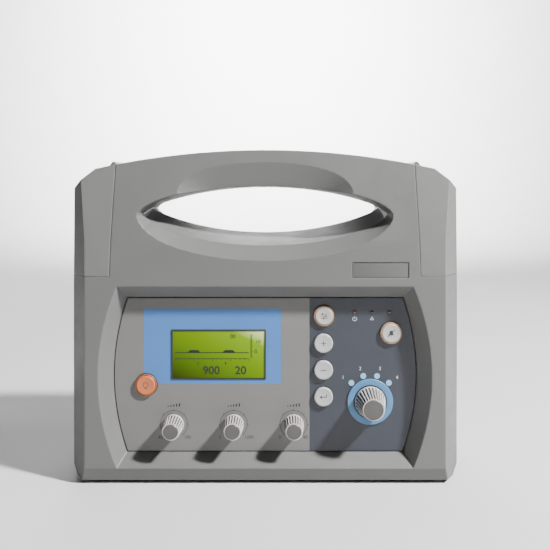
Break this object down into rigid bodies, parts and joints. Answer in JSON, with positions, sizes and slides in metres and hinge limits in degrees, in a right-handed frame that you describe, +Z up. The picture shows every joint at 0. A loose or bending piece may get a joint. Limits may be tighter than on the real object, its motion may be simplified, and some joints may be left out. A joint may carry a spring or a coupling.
{
  "type": "mechanical ventilator",
  "caption": "Portable transport ventilator: grey suitcase-like case with a carrying handle, recessed control panel with display, knobs and keys, gas connections on the back.",
  "frame": {"origin": "under the middle of the case's box, on the surface that its feet stand on", "axes": "+Z up; the control panel faces -Y; +X is to the right, seen from the panel"},
  "size_m": [0.303, 0.143, 0.256],
  "materials": {
    "case_front": "fine moulded texture, mid grey",
    "case_rear": "fine moulded texture, mid grey",
    "cap_grey": "fine moulded texture, light grey",
    "seal_black": "soft black seal",
    "label_grey": "smooth blank label",
    "panel_grey": "satin grey panel",
    "film_grey": "printed satin polycarbonate film",
    "film_slate": "printed satin polycarbonate film, slate",
    "film_blue": "printed satin film, light blue",
    "bezel_black": "black display frame",
    "lcd_green": "lit yellow-green display window",
    "board_green": "circuit board",
    "part_black": "moulded electronic part",
    "led_window": "dark tinted lamp window",
    "ring_blue": "blue ring",
    "dot_blue": "printed pale blue",
    "steel": "plated steel",
    "knob_grey": "fluted light grey knob",
    "cap_plate": "spun grey cap",
    "button_orange": "orange key",
    "button_cream": "light key with a warm rim",
    "button_white": "light key",
    "battery_wrap": "shrink-wrapped cells",
    "alloy": "machined alloy",
    "brass": "turned brass",
    "silicone": "milky silicone",
    "fitting_white": "white polymer cone",
    "port_blue": "blue hose barb",
    "filter_white": "pleated filter felt",
    "grille_dark": "dark slotted plate",
    "foot_rubber": "black rubber"
  },
  "bodies": {
    "case": {"front_housing": "case_front", "rear_housing": "case_rear", "housing_gasket": "seal_black", "left_corner_cap": "cap_grey", "right_corner_cap": "cap_grey", "label_plate": "label_grey", "panel_plate": "panel_grey", "overlay_left": "film_grey", "overlay_right": "film_slate", "screen_mask": "film_blue", "lcd_bezel": "bezel_black", "lcd_window": "lcd_green", "lcd_module": "board_green", "control_board": "board_green", "key_switches": "part_black", "status_leds": "led_window", "mode_ring": "ring_blue", "mode_dots": "dot_blue", "potentiometers": "steel", "mode_switch": "steel", "shaft_nuts": "steel", "main_board": "board_green", "board_screws": "steel", "battery_pack": "battery_wrap", "battery_bracket": "steel", "gas_manifold": "alloy", "pressure_regulator": "brass", "flow_valve": "steel", "relief_valve": "brass", "pressure_sensor": "part_black", "gas_tubes": "silicone", "patient_outlet": "fitting_white", "sampling_ports": "port_blue", "oxygen_inlet": "steel", "speaker": "part_black", "intake_filter": "filter_white", "intake_grille": "grille_dark", "power_switch": "part_black", "charger_inlet": "part_black", "feet": "foot_rubber", "case_screws": "steel"},
    "fio2_control": {"fio2_knob": "knob_grey", "fio2_cap": "cap_plate", "fio2_shaft": "steel"},
    "volume_control": {"volume_knob": "knob_grey", "volume_cap": "cap_plate", "volume_shaft": "steel"},
    "rate_control": {"rate_knob": "knob_grey", "rate_cap": "cap_plate", "rate_shaft": "steel"},
    "mode_control": {"mode_knob": "knob_grey", "mode_cap": "cap_plate", "mode_shaft": "steel"},
    "lamp_key": {"lamp_button": "button_orange"},
    "set_key": {"set_button": "button_cream"},
    "plus_key": {"plus_button": "button_white"},
    "minus_key": {"minus_button": "button_white"},
    "enter_key": {"enter_button": "button_white"},
    "silence_key": {"silence_button": "button_cream"},
    "rocker": {"power_rocker": "part_black"}
  },
  "joints": [
    {"name": "fio2_turn", "type": "hinge", "parent": "case", "child": "fio2_control", "pos_m": [-0.071, -0.0505, 0.043], "axis": [0, 1, 0], "range_deg": [-150, 150]},
    {"name": "volume_turn", "type": "hinge", "parent": "case", "child": "volume_control", "pos_m": [-0.0245, -0.0505, 0.043], "axis": [0, 1, 0], "range_deg": [-150, 150]},
    {"name": "rate_turn", "type": "hinge", "parent": "case", "child": "rate_control", "pos_m": [0.022, -0.0505, 0.043], "axis": [0, 1, 0], "range_deg": [-150, 150]},
    {"name": "mode_turn", "type": "hinge", "parent": "case", "child": "mode_control", "pos_m": [0.0815, -0.0505, 0.0605], "axis": [0, 1, 0], "range_deg": [0, 90]},
    {"name": "lamp_press", "type": "slide", "parent": "case", "child": "lamp_key", "axis": [0, 1, 0], "range_m": [0, 0.0012], "stiffness_N_per_m": 1500},
    {"name": "set_press", "type": "slide", "parent": "case", "child": "set_key", "axis": [0, 1, 0], "range_m": [0, 0.0012], "stiffness_N_per_m": 1500},
    {"name": "plus_press", "type": "slide", "parent": "case", "child": "plus_key", "axis": [0, 1, 0], "range_m": [0, 0.0012], "stiffness_N_per_m": 1500},
    {"name": "minus_press", "type": "slide", "parent": "case", "child": "minus_key", "axis": [0, 1, 0], "range_m": [0, 0.0012], "stiffness_N_per_m": 1500},
    {"name": "enter_press", "type": "slide", "parent": "case", "child": "enter_key", "axis": [0, 1, 0], "range_m": [0, 0.0012], "stiffness_N_per_m": 1500},
    {"name": "silence_press", "type": "slide", "parent": "case", "child": "silence_key", "axis": [0, 1, 0], "range_m": [0, 0.0012], "stiffness_N_per_m": 1500},
    {"name": "rocker_tip", "type": "hinge", "parent": "case", "child": "rocker", "pos_m": [-0.096, 0.06, 0.06], "axis": [1, 0, 0], "range_deg": [-16, 0]}
  ]
}
